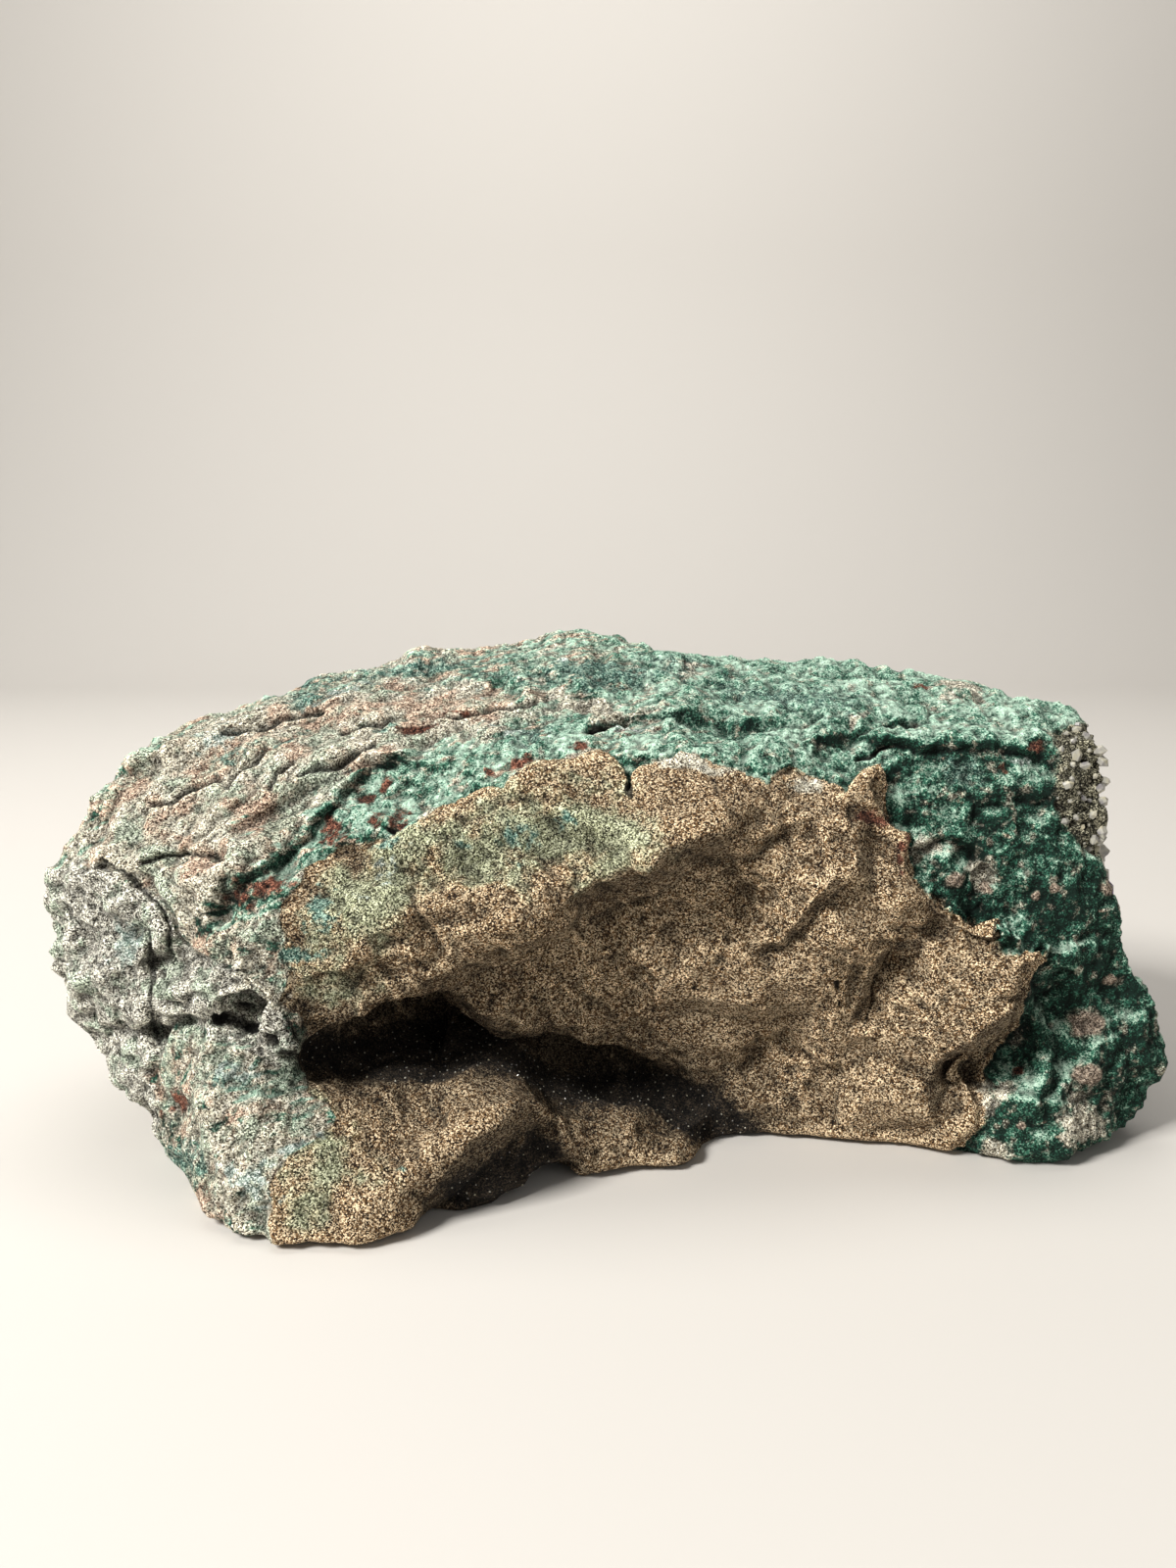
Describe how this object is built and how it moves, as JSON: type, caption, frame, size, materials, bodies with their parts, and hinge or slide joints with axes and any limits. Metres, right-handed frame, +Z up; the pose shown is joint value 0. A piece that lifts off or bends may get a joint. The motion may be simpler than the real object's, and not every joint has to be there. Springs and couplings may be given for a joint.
{
  "type": "amethyst specimen in basalt matrix",
  "caption": "Broken block of grey-brown basalt with a green mineral rind, an overhanging crevice in front and an end hollow lined with amethyst points, resting on its flat underside",
  "frame": {"origin": "under the middle of the bounding box, on the surface that the block stands on", "axes": "+X along the block to the end with the crystals, +Y to the back, away from the crevice, +Z up"},
  "size_m": [0.418, 0.2246, 0.1834],
  "materials": {
    "basalt": "matte",
    "amethyst": "gloss"
  },
  "bodies": {
    "root": {"matrix": "basalt", "amethyst_crust": "amethyst"}
  },
  "joints": []
}
